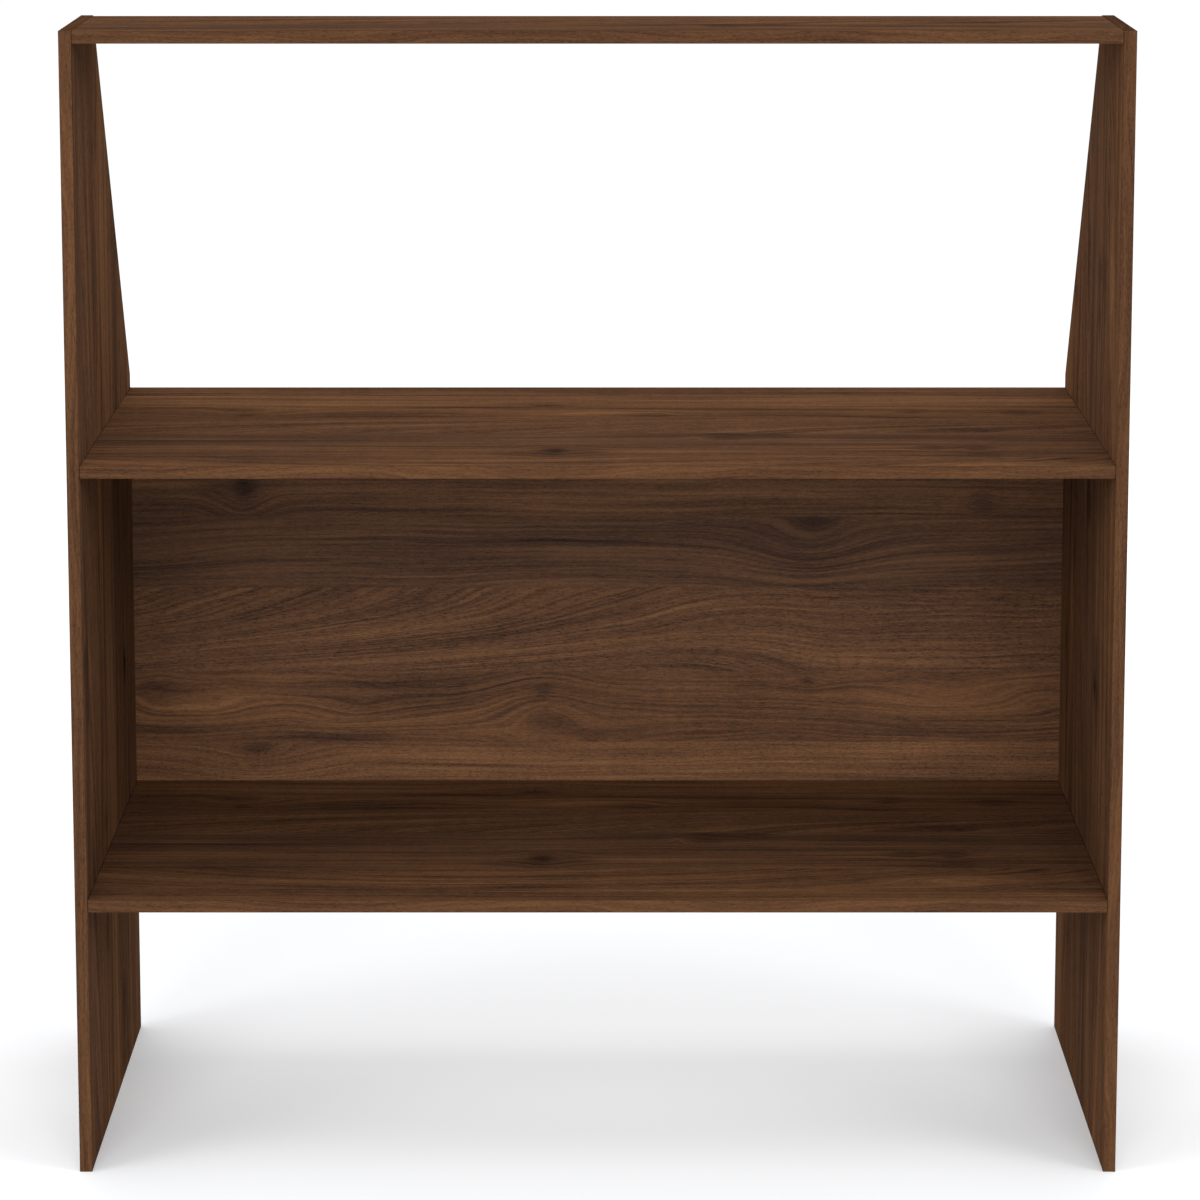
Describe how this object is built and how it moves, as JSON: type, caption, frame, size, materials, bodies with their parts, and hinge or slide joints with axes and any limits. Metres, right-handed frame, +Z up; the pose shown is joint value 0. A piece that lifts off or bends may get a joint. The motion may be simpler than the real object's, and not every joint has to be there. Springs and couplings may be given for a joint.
{
  "type": "sloped ceiling shelf",
  "caption": "Open bookcase for a room with a sloping ceiling: side panels cut back along a slope, a narrow top board, deep fixed shelves and a back panel between the shelves.",
  "frame": {"origin": "on the floor, under the middle of the object's box", "axes": "+Z up, -Y towards the front, X along the shelves"},
  "size_m": [1, 0.5, 1.1],
  "materials": {
    "walnut_board": "satin walnut decor with straight fine pores, knots and cathedral figure",
    "walnut_edge": "satin walnut edge band with the grain along its length",
    "zinc_cam": "die-cast zinc, dull grey",
    "steel_bolt": "zinc-plated steel",
    "beech_dowel": "raw beech, fluted along its length",
    "steel_screw": "zinc-plated steel"
  },
  "bodies": {
    "root": {"left_side_panel": "walnut_board", "right_side_panel": "walnut_board", "lower_shelf": "walnut_board", "middle_shelf": "walnut_board", "top_board": "walnut_board", "back_panel": "walnut_board", "left_front_edge_band": "walnut_edge", "left_top_edge_band": "walnut_edge", "left_slope_edge_band": "walnut_edge", "left_rear_edge_band": "walnut_edge", "left_bottom_edge_band": "walnut_edge", "right_front_edge_band": "walnut_edge", "right_top_edge_band": "walnut_edge", "right_slope_edge_band": "walnut_edge", "right_rear_edge_band": "walnut_edge", "right_bottom_edge_band": "walnut_edge", "lower_shelf_front_edge_band": "walnut_edge", "lower_shelf_rear_edge_band": "walnut_edge", "lower_shelf_cam_locks": "zinc_cam", "lower_shelf_cam_bolts": "steel_bolt", "lower_shelf_dowels": "beech_dowel", "middle_shelf_front_edge_band": "walnut_edge", "middle_shelf_rear_edge_band": "walnut_edge", "middle_shelf_cam_locks": "zinc_cam", "middle_shelf_cam_bolts": "steel_bolt", "middle_shelf_dowels": "beech_dowel", "top_board_front_edge_band": "walnut_edge", "top_board_rear_edge_band": "walnut_edge", "top_board_cam_locks": "zinc_cam", "top_board_cam_bolts": "steel_bolt", "top_board_dowels": "beech_dowel", "back_panel_screws": "steel_screw"}
  },
  "joints": []
}
